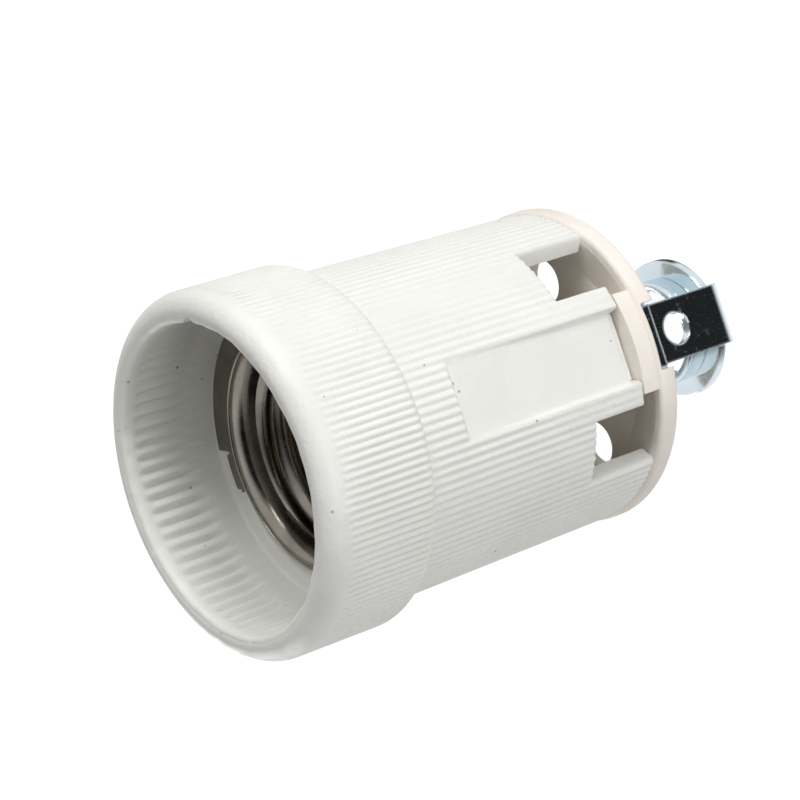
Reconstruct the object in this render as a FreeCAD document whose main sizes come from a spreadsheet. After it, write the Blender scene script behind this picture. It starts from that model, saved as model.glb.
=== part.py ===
import FreeCAD, Part

import math
import os

from FreeCAD import Placement, Rotation, Vector

os.makedirs("parts", exist_ok=True)
doc = FreeCAD.newDocument("lamp_holder")

# ---------------------------------------------------------------- sizes (mm)
# Z is the lamp axis. Z = 0 is the rear face of the yoke and +Z points out of the mouth.

SIZES = {
    # porcelain body
    "body_length": 54.0,
    "skirt_length": 16.0,
    "skirt_radius": 23.0,
    "skirt_rib_count": 150,
    "skirt_step": 2.0,
    "barrel_taper": 0.5,
    "barrel_front_radius": "=skirt_radius - skirt_step",
    "barrel_rear_radius": "=barrel_front_radius - barrel_taper",
    "barrel_rib_count": 120,
    "rib_depth": 0.32,
    "shoulder_round": 1.9,
    "lip_outer_round": 2.6,
    "lip_inner_round": 1.0,
    "mouth_wall": 3.7,
    "mouth_radius": "=skirt_radius - mouth_wall",
    "mouth_depth": 14.0,
    "mouth_rib_count": 70,
    "mouth_rib_depth": 0.3,
    "mouth_rib_start": 3.2,
    "mouth_rib_length": 6.6,
    "shell_clearance": 0.75,
    "shell_bore_radius": "=thread_major_radius + shell_wall + shell_clearance",
    "deck_thickness": 4.0,
    "cavity_depth": 12.0,
    "cavity_wall": 2.5,
    "cavity_radius": "=barrel_rear_radius - cavity_wall",
    "panel_half_width": 4.85,
    "panel_length": 27.0,
    "panel_gap": 4.0,
    "panel_front_depth": 0.85,
    "panel_front_flat": "=barrel_front_radius - panel_front_depth",
    "panel_slope": 2.0,
    "rim_half_width": 8.0,
    "rim_gap": 2.8,
    "notch_angle": 34.6,
    "notch_width": 8.5,
    "notch_length": 10.9,
    "overshoot": 1.0,
    # porcelain base
    "flange_overhang": 0.3,
    "flange_radius": "=barrel_rear_radius + flange_overhang",
    "flange_thickness": 3.0,
    "flange_floor": 1.7,
    "flange_rear_round": 1.2,
    "flange_front_round": 0.8,
    "flange_land": 1.5,
    "dish_slope_width": 4.7,
    "key_half_width": 6.5,
    "key_height": 2.5,
    "key_setback": 0.6,
    "key_radius": "=flange_radius - key_setback",
    "channel_depth": 2.6,
    "channel_clearance": 0.3,
    "wire_hole_radius": 3.0,
    "wire_hole_inset": 7.0,
    "wire_hole_x": "=cavity_radius - wire_hole_inset",
    "wire_hole_y": -2.2,
    # yoke and entry bush
    "yoke_rise": 19.2,
    "sheet_thickness": 1.2,
    "strip_half_width": 4.0,
    "leg_inset": 3.7,
    "leg_outer": "=yoke_screw_place - leg_inset",
    "foot_setback": 0.5,
    "foot_reach": "=flange_radius - foot_setback",
    "bend_radius": 0.8,
    "eye_radius": 9.4,
    "leg_hole_radius": 2.1,
    "leg_hole_height": 9.7,
    "bush_radius": 7.1,
    "bush_length": 4.4,
    "bush_spigot_radius": 6.7,
    "bush_bore_radius": 5.95,
    # screw shell
    "thread_major_radius": 13.35,
    "thread_crest_radius": 12.2,
    "thread_pitch": 3.63,
    "thread_lead_in": 1.5,
    "shell_wall": 0.5,
    "shell_rim_radius": 15.9,
    "tab_clearance": 0.3,
    "shell_tab_radius": "=mouth_radius - tab_clearance",
    "shell_step_radius": "=(shell_rim_radius + shell_tab_radius) / 2",
    "shell_step_angle": 19.0,
    "shell_tab_angle": 80.0,
    "shell_tab_turn": 40.0,
    "shell_foot_inset": 2.2,
    "shell_foot_inner": "=shell_screw_place - shell_foot_inset",
    # fasteners
    "screw_radius": 1.5,
    "screw_hole_radius": 1.7,
    "screw_head_radius": 2.75,
    "screw_head_height": 1.7,
    "slot_width": 0.8,
    "slot_depth": 0.9,
    "nut_flats": 5.5,
    "nut_height": 2.4,
    "nut_clearance": 0.15,
    "washer_radius": 2.9,
    "washer_thickness": 0.5,
    "yoke_screw_inset": 2.9,
    "yoke_screw_place": "=cavity_radius - yoke_screw_inset",
    "yoke_screw_length": 12.0,
    "boss_half_width": 4.5,
    "boss_half_depth": 2.2,
    "boss_inner": "=yoke_screw_place - boss_half_depth",
    "boss_bury": 0.6,
    "nut_level": 4.4,
    "shell_screw_shift": 0.2,
    "shell_screw_place": "=terminal_place - shell_screw_shift",
    "shell_screw_length": 8.0,
    "shell_nut_angle": 240.0,
    # terminals
    "terminal_inset": 8.0,
    "terminal_place": "=cavity_radius - terminal_inset",
    "terminal_half_width": 3.5,
    "terminal_height": 4.0,
    "terminal_front": -2.8,
    "terminal_back": 9.2,
    "strip_thickness": 1.2,
    "clamp_place": 5.4,
    "clamp_screw_radius": 1.7,
    "clamp_clearance": 0.05,
    "clamp_head_radius": 3.1,
    "clamp_head_height": 2.2,
    "clamp_plate_half": 3.4,
    "clamp_plate_thickness": 0.8,
    "clamp_screw_length": 4.6,
    # sprung centre contact
    "plunger_radius": 1.8,
    "plunger_head_radius": 3.6,
    "plunger_head_height": 1.4,
    "plunger_dome": 0.7,
    "plunger_tail_radius": 2.7,
    "plunger_tail_height": 1.2,
    "plunger_stop_gap": 0.1,
    "guide_radius": 2.6,
    "ring_margin": 0.3,
    "guide_flange_radius": 3.9,
    "guide_flange": 0.8,
    "guide_peen_radius": 3.3,
    "guide_peen": 0.6,
    "hole_clearance": 0.1,
    "fibre_radius": 4.4,
    "fibre_thickness": 0.6,
    "spring_height": 3.4,
    "spring_radius": 2.95,
    "spring_wire_radius": 0.25,
    "spring_turns": 3,
}

# Levels along the lamp axis, worked out from the sizes above.
LEVELS = {
    "base_rear": "=yoke_rise",
    "body_rear": "=yoke_rise + flange_thickness",
    "mouth_level": "=yoke_rise + flange_thickness + body_length",
    "step_level": "=yoke_rise + flange_thickness + body_length - skirt_length",
    "ledge_level": "=yoke_rise + flange_thickness + body_length - mouth_depth",
    "deck_rear": "=yoke_rise + flange_thickness + cavity_depth",
    "deck_front": "=yoke_rise + flange_thickness + cavity_depth + deck_thickness",
    "channel_floor": "=yoke_rise + channel_depth",
    "key_top": "=yoke_rise + flange_thickness + key_height",
    "terminal_face": "=yoke_rise + flange_thickness + cavity_depth - terminal_height",
}

sheet = doc.addObject("Spreadsheet::Sheet", "Sizes")


def fill_sheet():
    values = list(SIZES.items()) + list(LEVELS.items())
    for row, (name, value) in enumerate(values, 1):
        sheet.set("A%d" % row, name)
        sheet.setAlias("B%d" % row, name)
    for row, (name, value) in enumerate(values, 1):
        sheet.set("B%d" % row, str(value))
    doc.recompute()


fill_sheet()


def size(name):
    return float(getattr(sheet, name))


# ------------------------------------------------------------------- helpers

def bind(thing, links):
    """Tie properties of a thing to the sheet; words in the text are names in the sheet."""
    for place, text in links.items():
        words = text
        for name in sorted(list(SIZES) + list(LEVELS), key=len, reverse=True):
            words = words.replace(name, "Sizes.#%s#" % "#".join(name)) if name in words else words
        thing.setExpression(place, words.replace("#", ""))
    return thing


def cylinder(label, radius, height, x="0", y="0", z="0"):
    thing = doc.addObject("Part::Cylinder", label)
    links = {"Radius": radius, "Height": height}
    links.update({"Placement.Base.x": x, "Placement.Base.y": y, "Placement.Base.z": z})
    return bind(thing, links)


def cross_hole(label, radius, length, y, z):
    """A cylinder that lies along Y and starts at y."""
    thing = doc.addObject("Part::Cylinder", label)
    thing.Placement = Placement(Vector(), Rotation(Vector(1, 0, 0), -90))
    links = {"Radius": radius, "Height": length, "Placement.Base.y": y, "Placement.Base.z": z}
    return bind(thing, links)


def box(label, low, high):
    """A box between two corners, each given as three texts."""
    thing = doc.addObject("Part::Box", label)
    links = {}
    for axis, length, start, end in zip("xyz", ("Length", "Width", "Height"), low, high):
        links["Placement.Base.%s" % axis] = start
        links[length] = "(%s) - (%s)" % (end, start)
    return bind(thing, links)


def turned_box(label, width, near, far, bottom, top, angle):
    """A box across the wall, its length along the radius at the given angle about Z."""
    thing = doc.addObject("Part::Box", label)
    thing.Placement = Placement(Vector(), Rotation(Vector(0, 0, 1), angle))
    turn = math.radians(angle)
    across = "(%s) * %.9f + (%s) / 2 * %.9f"
    links = {
        "Length": "(%s) - (%s)" % (far, near),
        "Width": width,
        "Height": "(%s) - (%s)" % (top, bottom),
        "Placement.Base.x": across % (near, math.cos(turn), width, math.sin(turn)),
        "Placement.Base.y": across % (near, math.sin(turn), width, -math.cos(turn)),
        "Placement.Base.z": bottom,
    }
    return bind(thing, links)


def fuse(label, things):
    thing = doc.addObject("Part::MultiFuse", label)
    thing.Shapes = things
    return thing


def cut(label, base, tools):
    tool = tools[0]
    if len(tools) > 1:
        tool = fuse(label + "_tools", tools)
    thing = doc.addObject("Part::Cut", label)
    thing.Base = base
    thing.Tool = tool
    return thing


def common(label, things):
    thing = doc.addObject("Part::MultiCommon", label)
    thing.Shapes = things
    return thing


def rounded(corners):
    """Lines and arcs of a closed outline; a corner is (u, v) or (u, v, radius)."""
    count = len(corners)
    ends = []
    for index in range(count):
        here = Vector(corners[index][0], corners[index][1], 0)
        radius = corners[index][2] if len(corners[index]) > 2 else 0
        if radius == 0:
            ends.append((here, here, None))
            continue
        before = Vector(corners[index - 1][0], corners[index - 1][1], 0) - here
        after = Vector(corners[(index + 1) % count][0], corners[(index + 1) % count][1], 0) - here
        before.normalize()
        after.normalize()
        half = before.getAngle(after) / 2
        run = radius / math.tan(half)
        middle = before + after
        middle.normalize()
        crown = here + middle * (radius / math.sin(half) - radius)
        ends.append((here + before * run, here + after * run, crown))
    pieces = []
    for index in range(count):
        arrive, leave, crown = ends[index]
        if crown is not None:
            pieces.append(Part.Arc(arrive, crown, leave))
        following = ends[(index + 1) % count][0]
        if leave.distanceToPoint(following) > 1e-6:
            pieces.append(Part.LineSegment(leave, following))
    return pieces


def sketch(label, corners, rotation=Rotation()):
    thing = doc.addObject("Sketcher::SketchObject", label)
    thing.Placement = Placement(Vector(), rotation)
    thing.addGeometry(rounded(corners), False)
    return thing


def turned(label, corners):
    """A solid turned about Z from corners given as (radius, level)."""
    thing = doc.addObject("Part::Revolution", label)
    thing.Source = sketch(label + "_outline", corners, Rotation(Vector(1, 0, 0), 90))
    thing.Axis = Vector(0, 0, 1)
    thing.Angle = 360
    thing.Solid = True
    return thing


def star(label, count, crest, valley, level, turn=0.0):
    """A closed zigzag of straight ribs round Z."""
    thing = doc.addObject("Part::Polygon", label)
    nodes = []
    for index in range(2 * count):
        angle = math.pi * index / count + turn
        radius = crest if index % 2 == 0 else valley
        nodes.append(Vector(radius * math.cos(angle), radius * math.sin(angle), level))
    thing.Nodes = nodes
    thing.Close = True
    return thing


def ribbed(label, count, low, high, depth):
    """A ribbed bar between two (crest radius, level) ends."""
    thing = doc.addObject("Part::Loft", label)
    ends = []
    for place, (crest, level) in (("low", low), ("high", high)):
        ends.append(star("%s_%s" % (label, place), count, crest, crest - depth, level))
    thing.Sections = ends
    thing.Solid = True
    thing.Ruled = True
    return thing


def placed(label, source, vector, angle=0.0):
    """The same shape set down again, turned about Z."""
    thing = doc.addObject("Part::Compound", label)
    thing.Links = [source]
    thing.Placement = Placement(vector, Rotation(Vector(0, 0, 1), angle))
    return thing


# ------------------------------------------------------------ porcelain body

ENVELOPE = 0.05  # the turned blank stands this far outside the rib crests


def body_blank():
    """The turned form of the body, from the lip to the cavity."""
    skirt = size("skirt_radius") + ENVELOPE
    front = size("barrel_front_radius") + ENVELOPE
    rear = size("barrel_rear_radius") + ENVELOPE
    return turned("body_blank", [
        (size("cavity_radius"), size("body_rear")),
        (rear, size("body_rear")),
        (front, size("step_level")),
        (skirt, size("step_level"), size("shoulder_round")),
        (skirt, size("mouth_level"), size("lip_outer_round")),
        (size("mouth_radius"), size("mouth_level"), size("lip_inner_round")),
        (size("mouth_radius"), size("ledge_level")),
        (size("shell_bore_radius"), size("ledge_level")),
        (size("shell_bore_radius"), size("deck_front")),
        (size("guide_radius") + size("hole_clearance"), size("deck_front")),
        (size("guide_radius") + size("hole_clearance"), size("deck_rear")),
        (size("cavity_radius"), size("deck_rear")),
    ])


def outer_ribs():
    """Ribbed bars whose overlap with the blank leaves ribs on the skirt and barrel."""
    step = size("step_level")
    skirt = ribbed(
        "skirt_ribs", int(size("skirt_rib_count")),
        (size("skirt_radius"), step), (size("skirt_radius"), size("mouth_level") + 1),
        size("rib_depth"))
    barrel = ribbed(
        "barrel_ribs", int(size("barrel_rib_count")),
        (size("barrel_rear_radius"), size("body_rear")), (size("barrel_front_radius"), step),
        size("rib_depth"))
    return fuse("outer_ribs", [skirt, barrel])


def mouth_grooves():
    """The grooves that leave ribs round the inside of the mouth."""
    top = size("mouth_level") - size("mouth_rib_start")
    crest = size("mouth_radius") + size("mouth_rib_depth")
    depth = size("mouth_rib_depth") + ENVELOPE
    return ribbed(
        "mouth_grooves", int(size("mouth_rib_count")),
        (crest, top - size("mouth_rib_length")), (crest, top), depth)


def panel_cutter(side, angle):
    """The smooth recess along the barrel; its floor slopes inwards to the rear."""
    top = size("body_rear") + size("panel_gap") + size("panel_length")
    thing = doc.addObject("Part::Box", "panel_cutter_" + side)
    bind(thing, {"Length": "2 * panel_half_width", "Width": "skirt_radius / 2", "Height": "body_length"})
    lean = Rotation(Vector(1, 0, 0), -size("panel_slope"))
    low_corner = lean.multVec(Vector(-size("panel_half_width"), -size("skirt_radius") / 2, -size("body_length")))
    start = Vector(0, -size("panel_front_flat"), top)
    spin = Rotation(Vector(0, 0, 1), angle)
    thing.Placement = Placement(spin.multVec(start + low_corner), spin.multiply(lean))
    return thing


def rear_edge_cutters():
    """Low places in the rear edge for the base's key, and the notches beside them."""
    cutters = []
    for side, sign in (("front", -1), ("back", 1)):
        near = "%d * boss_inner" % sign
        far = "%d * skirt_radius" % sign
        low_y, high_y = (far, near) if sign < 0 else (near, far)
        cutters.append(box(
            "panel_gap_" + side, ("-panel_half_width", low_y, "body_rear - overshoot"),
            ("panel_half_width", high_y, "body_rear + panel_gap")))
        cutters.append(box(
            "rim_gap_" + side, ("-rim_half_width", low_y, "body_rear - overshoot"),
            ("rim_half_width", high_y, "body_rear + rim_gap")))
    for index, middle in enumerate((-90, -90, 90, 90)):
        angle = middle + size("notch_angle") * (1 if index % 2 else -1)
        cutters.append(turned_box(
            "notch_%d" % index, "notch_width", "cavity_radius - cavity_wall", "skirt_radius",
            "body_rear - overshoot", "body_rear + notch_length", angle))
    return cutters


def bosses():
    """Two solid bosses under the deck that take the yoke screws."""
    blocks = []
    for side, sign in (("front", -1), ("back", 1)):
        near = "%d * boss_inner" % sign
        far = "%d * (cavity_radius + boss_bury)" % sign
        low_y, high_y = (far, near) if sign < 0 else (near, far)
        blocks.append(box(
            "boss_" + side, ("-boss_half_width", low_y, "body_rear + rim_gap"),
            ("boss_half_width", high_y, "deck_rear + overshoot")))
    return blocks


def body_holes():
    """Screw holes through the deck and bosses, and the pockets of the yoke nuts."""
    holes = []
    for side, sign in (("front", -1), ("back", 1)):
        holes.append(cylinder(
            "yoke_screw_hole_" + side, "screw_hole_radius", "cavity_depth - rim_gap",
            y="%d * yoke_screw_place" % sign, z="body_rear + rim_gap - overshoot"))
        holes.append(box(
            "nut_pocket_" + side,
            ("-nut_flats / sqrt(3) - nut_clearance",
             "%d * yoke_screw_place - nut_flats / 2 - nut_clearance" % sign + (" - 3 * overshoot" if sign > 0 else ""),
             "body_rear + rim_gap + nut_level - nut_clearance"),
            ("nut_flats / sqrt(3) + nut_clearance",
             "%d * yoke_screw_place + nut_flats / 2 + nut_clearance" % sign + (" + 3 * overshoot" if sign < 0 else ""),
             "body_rear + rim_gap + nut_level + nut_height + nut_clearance")))
    for index, angle in enumerate((0.0, size("shell_nut_angle"))):
        holes.append(cylinder(
            "shell_screw_hole_%d" % index, "screw_hole_radius", "deck_thickness + 2 * overshoot",
            x="shell_screw_place * %.9f" % math.cos(math.radians(angle)),
            y="shell_screw_place * %.9f" % math.sin(math.radians(angle)), z="deck_rear - overshoot"))
    return holes


def porcelain_body():
    ribbed_form = common("ribbed_form", [body_blank(), outer_ribs()])
    tools = [mouth_grooves(), panel_cutter("front", 0), panel_cutter("back", 180)]
    carved = cut("carved_form", ribbed_form, tools)
    with_bosses = fuse("body_with_bosses", [carved] + bosses())
    return cut("porcelain_body", with_bosses, rear_edge_cutters() + body_holes())


# ------------------------------------------------------------ porcelain base

def base_flange():
    """The round cap with a rounded rim and a sloping dish in its inner face."""
    floor = size("base_rear") + size("flange_floor")
    land = size("flange_radius") - size("flange_land")
    return turned("base_flange", [
        (0, size("base_rear")),
        (size("flange_radius"), size("base_rear"), size("flange_rear_round")),
        (size("flange_radius"), size("body_rear"), size("flange_front_round")),
        (land, size("body_rear")),
        (land - size("dish_slope_width"), floor),
        (0, floor),
    ])


def base_key():
    """The bar across the base that fills the gaps in the body's rear edge."""
    bar = box(
        "key_bar", ("-key_half_width", "-flange_radius - overshoot", "base_rear + flange_floor / 2"),
        ("key_half_width", "flange_radius + overshoot", "key_top"))
    return common("base_key", [bar, cylinder("key_round", "key_radius", "yoke_rise", z="base_rear")])


def base_cutters():
    cutters = [box(
        "channel", ("-strip_half_width - channel_clearance", "-skirt_radius", "base_rear - overshoot"),
        ("strip_half_width + channel_clearance", "skirt_radius", "channel_floor"))]
    for side, sign in (("left", -1), ("right", 1)):
        cutters.append(cylinder(
            "wire_hole_" + side, "wire_hole_radius", "flange_thickness + 2 * overshoot",
            x="%d * wire_hole_x" % sign, y="wire_hole_y", z="base_rear - overshoot"))
    for side, sign in (("front", -1), ("back", 1)):
        cutters.append(cylinder(
            "base_screw_hole_" + side, "screw_hole_radius", "key_height + flange_thickness",
            y="%d * yoke_screw_place" % sign, z="base_rear + overshoot"))
        cutters.append(countersink("base_sink_" + side, sign))
    return cutters


def countersink(label, sign):
    """The cone of a countersunk head whose flat lies in the rear face of the foot."""
    thing = doc.addObject("Part::Cone", label)
    return bind(thing, {
        "Radius1": "screw_head_radius",
        "Radius2": "screw_radius",
        "Height": "screw_head_radius - screw_radius",
        "Placement.Base.y": "%d * yoke_screw_place" % sign,
        "Placement.Base.z": "channel_floor - sheet_thickness",
    })


def porcelain_base():
    return cut("porcelain_base", fuse("base_form", [base_flange(), base_key()]), base_cutters())


# ------------------------------------------------------- yoke and entry bush

def yoke_strip():
    """The bent strip: foot, leg, bridge, leg, foot."""
    outer = size("leg_outer")
    wall = size("sheet_thickness")
    inner = outer - wall
    foot = size("foot_reach")
    top = size("channel_floor")
    bend = size("bend_radius")
    right = [
        (outer, 0, bend + wall),
        (outer, top - wall, bend),
        (foot, top - wall),
        (foot, top),
        (inner, top, bend + wall),
        (inner, wall, bend),
    ]
    left = [(-corner[0],) + corner[1:] for corner in reversed(right)]
    thing = doc.addObject("Part::Extrusion", "yoke_strip")
    stand = Rotation(Vector(1, 0, 0), 90)
    face = Rotation(Vector(0, 0, 1), 90).multiply(stand)
    thing.Base = sketch("yoke_outline", right + left, face)
    thing.DirMode = "Custom"
    thing.Dir = Vector(1, 0, 0)
    thing.Symmetric = True
    thing.Solid = True
    return bind(thing, {"LengthFwd": "2 * strip_half_width"})


def yoke():
    eye = cylinder("yoke_eye", "eye_radius", "sheet_thickness")
    form = fuse("yoke_form", [yoke_strip(), eye])
    tools = [cylinder("bush_seat", "bush_spigot_radius", "sheet_thickness + 2 * overshoot", z="-overshoot")]
    tools.append(cross_hole(
        "leg_holes", "leg_hole_radius", "2 * skirt_radius", "-skirt_radius", "leg_hole_height"))
    tools += [countersink("foot_sink_front", -1), countersink("foot_sink_back", 1)]
    for side, sign in (("front", -1), ("back", 1)):
        tools.append(cylinder(
            "foot_hole_" + side, "screw_radius", "sheet_thickness + 2 * overshoot",
            y="%d * yoke_screw_place" % sign, z="channel_floor - sheet_thickness - overshoot"))
    return cut("yoke", form, tools)


def entry_bush():
    return turned("entry_bush", [
        (size("bush_bore_radius"), 0),
        (size("bush_spigot_radius"), 0),
        (size("bush_spigot_radius"), size("sheet_thickness")),
        (size("bush_radius"), size("sheet_thickness")),
        (size("bush_radius"), size("bush_length")),
        (size("bush_bore_radius"), size("bush_length")),
    ])


# --------------------------------------------------------------- screw shell

def shell_outline():
    """Inside and outside of the rolled shell, as rings of the thread's own pitch."""
    wall = size("shell_wall")
    major = size("thread_major_radius")
    crest = size("thread_crest_radius")
    pitch = size("thread_pitch")
    top = size("ledge_level")
    foot = size("deck_front")
    inside = [(size("shell_rim_radius"), top + wall), (major, top + wall, wall)]
    level = top - size("thread_lead_in")
    while level - pitch > foot + pitch / 2:
        inside.append((major, level))
        inside.append((crest, level - pitch / 2))
        level -= pitch
    inside.append((major, level))
    inside.append((major, foot + wall))
    inside.append((size("shell_foot_inner"), foot + wall))
    outside = [(size("shell_foot_inner"), foot), (major + wall, foot)]
    outside.append((major + wall, level))
    while level < top - size("thread_lead_in") - pitch / 4:
        outside.append((crest + wall, level + pitch / 2))
        outside.append((major + wall, level + pitch))
        level += pitch
    outside.append((major + wall, top))
    outside.append((size("shell_rim_radius"), top))
    return inside + outside


def flange_sector(label, radius, start, angle):
    """A wide sector of the shell's front flange, from a start angle about Z."""
    thing = doc.addObject("Part::Cylinder", label)
    thing.Placement = Placement(Vector(), Rotation(Vector(0, 0, 1), start))
    return bind(thing, {
        "Radius": radius,
        "Height": "shell_wall",
        "Angle": angle,
        "Placement.Base.z": "ledge_level",
    })


def shell_tabs():
    """Two wide tabs of the front flange, each with a lower step, which lie on the ledge."""
    tabs = []
    for side in (0, 1):
        start = size("shell_tab_turn") + 180 * side - size("shell_tab_angle") / 2
        tabs.append(flange_sector("shell_tab_%d" % side, "shell_tab_radius", start, "shell_tab_angle"))
        tabs.append(flange_sector(
            "shell_step_%d" % side, "shell_step_radius", start,
            "shell_tab_angle + shell_step_angle"))
    ring = cylinder(
        "tab_clear", "thread_major_radius + shell_wall", "2 * overshoot + shell_wall",
        z="ledge_level - overshoot")
    return cut("shell_tabs", fuse("tab_sectors", tabs), [ring])


def screw_shell():
    form = fuse("shell_form", [turned("shell_rings", shell_outline()), shell_tabs()])
    holes = []
    for index, angle in enumerate((0.0, size("shell_nut_angle"))):
        holes.append(cylinder(
            "shell_foot_hole_%d" % index, "screw_hole_radius", "shell_wall + 2 * overshoot",
            x="shell_screw_place * %.9f" % math.cos(math.radians(angle)),
            y="shell_screw_place * %.9f" % math.sin(math.radians(angle)), z="deck_front - overshoot"))
    return cut("screw_shell", form, holes)


# ---------------------------------------------------------------- fasteners

def slotted_screw(label, head_radius, head_height, radius, length):
    """A pan-head screw at the origin: shank up +Z from z = 0, head below, slot underneath."""
    form = fuse(label + "_form", [
        cylinder(label + "_head", head_radius, head_height, z="-(%s)" % head_height),
        cylinder(label + "_shank", radius, length),
    ])
    slot = box(
        label + "_slot", ("-slot_width / 2", "-2 * (%s)" % head_radius, "-(%s) - overshoot" % head_height),
        ("slot_width / 2", "2 * (%s)" % head_radius, "slot_depth - (%s)" % head_height))
    return cut(label, form, [slot])


def shell_screws():
    """Two screws through the shell's foot; their heads lie inside the shell."""
    model = slotted_screw(
        "shell_screw_model", "screw_head_radius", "screw_head_height", "screw_radius",
        "shell_screw_length")
    copies = []
    for index, angle in enumerate((0.0, size("shell_nut_angle"))):
        turn = math.radians(angle)
        height = size("deck_front") + size("shell_wall") + size("washer_thickness")
        spot = Vector(size("shell_screw_place") * math.cos(turn), size("shell_screw_place") * math.sin(turn), height)
        copy = placed("shell_screw_%d" % index, model, spot)
        copy.Placement = Placement(spot, Rotation(Vector(1, 0, 0), 180))
        copies.append(copy)
    return fuse("shell_screws", copies)


def shell_washers():
    """A lock washer under each shell screw."""
    copies = []
    for index, angle in enumerate((0.0, size("shell_nut_angle"))):
        x = "shell_screw_place * %.9f" % math.cos(math.radians(angle))
        y = "shell_screw_place * %.9f" % math.sin(math.radians(angle))
        level = "deck_front + shell_wall"
        outer = cylinder("washer_outer_%d" % index, "washer_radius", "washer_thickness", x, y, level)
        hole = cylinder("washer_hole_%d" % index, "screw_hole_radius", "washer_thickness + 2 * overshoot", x, y,
                        level + " - overshoot")
        copies.append(cut("shell_washer_%d" % index, outer, [hole]))
    return fuse("shell_washers", copies)


def hex_nut(label, x, y, z, turn=0.0):
    prism = doc.addObject("Part::Prism", label + "_hex")
    prism.Polygon = 6
    prism.Placement = Placement(Vector(), Rotation(Vector(0, 0, 1), turn))
    bind(prism, {
        "Circumradius": "nut_flats / sqrt(3)",
        "Height": "nut_height",
        "Placement.Base.x": x,
        "Placement.Base.y": y,
        "Placement.Base.z": z,
    })
    hole = cylinder(label + "_hole", "screw_radius", "nut_height + 2 * overshoot", x, y, z + " - overshoot")
    return cut(label, prism, [hole])


def shell_nut():
    turn = math.radians(size("shell_nut_angle"))
    return hex_nut(
        "shell_nut", "shell_screw_place * %.9f" % math.cos(turn),
        "shell_screw_place * %.9f" % math.sin(turn), "deck_rear - nut_height")


def yoke_nuts():
    level = "body_rear + rim_gap + nut_level"
    nuts = [hex_nut("yoke_nut_%s" % side, "0", "%d * yoke_screw_place" % sign, level)
            for side, sign in (("front", -1), ("back", 1))]
    return fuse("yoke_nuts", nuts)


def yoke_screws():
    """Two countersunk screws from the feet of the yoke to the nuts in the body."""
    screws = []
    for side, sign in (("front", -1), ("back", 1)):
        place = "%d * yoke_screw_place" % sign
        rear = "channel_floor - sheet_thickness"
        shank = cylinder("yoke_shank_" + side, "screw_radius", "yoke_screw_length", y=place, z=rear)
        head = countersink("yoke_head_" + side, sign)
        slot = box(
            "yoke_slot_" + side, ("-slot_width / 2", place + " - 4 * overshoot", rear + " - overshoot"),
            ("slot_width / 2", place + " + 4 * overshoot", rear + " + slot_depth"))
        screws.append(cut("yoke_screw_" + side, fuse("yoke_screw_form_" + side, [shank, head]), [slot]))
    return fuse("yoke_screws", screws)


# ---------------------------------------------------------------- terminals

def clamp_hole(label, sign):
    return cylinder(
        label, "clamp_screw_radius + clamp_clearance", "terminal_height + 2 * overshoot",
        x="%d * terminal_place" % sign, y="clamp_place", z="terminal_face - overshoot")


def terminal_block(label, sign):
    middle = "%d * terminal_place" % sign
    return box(
        label, (middle + " - terminal_half_width", "terminal_front", "terminal_face"),
        (middle + " + terminal_half_width", "terminal_back", "deck_rear"))


def shell_terminal():
    """The block that the shell's screw pulls against the deck."""
    thread = cylinder("shell_terminal_thread", "screw_radius", "terminal_height + 2 * overshoot",
                      x="shell_screw_place", z="terminal_face - overshoot")
    return cut("shell_terminal", terminal_block("shell_terminal_block", 1),
               [thread, clamp_hole("shell_clamp_hole", 1)])


def centre_terminal():
    """The block and strip that the guide bush clamps behind the deck."""
    level = "deck_rear - strip_thickness"
    ring = cylinder("centre_ring", "guide_flange_radius + ring_margin", "strip_thickness", z=level)
    strip = box("centre_strip", ("-terminal_place", "terminal_front + 0.2", level),
                ("0", "guide_radius", "deck_rear"))
    form = fuse("centre_form", [terminal_block("centre_block", -1), strip, ring])
    seat = cylinder("guide_seat", "guide_radius", "strip_thickness + 2 * overshoot", z=level + " - overshoot")
    return cut("centre_terminal", form, [seat, clamp_hole("centre_clamp_hole", -1)])


def clamp_plate(label, sign):
    """The square plate that presses the wire; it slides with its screw."""
    x = "%d * terminal_place" % sign
    top = "terminal_face - clamp_clearance"
    plate = box(
        label + "_plate", (x + " - clamp_plate_half", "clamp_place - clamp_plate_half",
                           top + " - clamp_plate_thickness"),
        (x + " + clamp_plate_half", "clamp_place + clamp_plate_half", top))
    hole = cylinder(
        label + "_hole", "clamp_screw_radius + 2 * clamp_clearance", "clamp_plate_thickness + 2 * overshoot", x,
        "clamp_place", top + " - clamp_plate_thickness - overshoot")
    return cut(label, plate, [hole])


def clamp_screw(label, sign):
    model = slotted_screw(
        label + "_model", "clamp_head_radius", "clamp_head_height", "clamp_screw_radius",
        "clamp_screw_length")
    height = size("terminal_face") - size("clamp_plate_thickness") - 2 * size("clamp_clearance")
    return placed(label, model, Vector(sign * size("terminal_place"), size("clamp_place"), height))


# ---------------------------------------------------------- centre contact

def fibre_washer():
    level = "deck_front"
    disc = cylinder("fibre_disc", "fibre_radius", "fibre_thickness", z=level)
    hole = cylinder("fibre_hole", "guide_radius + hole_clearance", "fibre_thickness + 2 * overshoot", z=level + " - overshoot")
    return cut("fibre_washer", disc, [hole])


def guide_bush():
    """The eyelet that guides the plunger and clamps the centre terminal."""
    bore = size("plunger_radius") + size("clamp_clearance")
    rear = size("deck_rear") - size("strip_thickness")
    front = size("deck_front") + size("fibre_thickness")
    return turned("guide_bush", [
        (bore, rear - size("guide_peen")),
        (size("guide_peen_radius"), rear - size("guide_peen")),
        (size("guide_peen_radius"), rear),
        (size("guide_radius"), rear),
        (size("guide_radius"), front),
        (size("guide_flange_radius"), front),
        (size("guide_flange_radius"), front + size("guide_flange")),
        (bore, front + size("guide_flange")),
    ])


def spring_seat():
    return size("deck_front") + size("fibre_thickness") + size("guide_flange")


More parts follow.
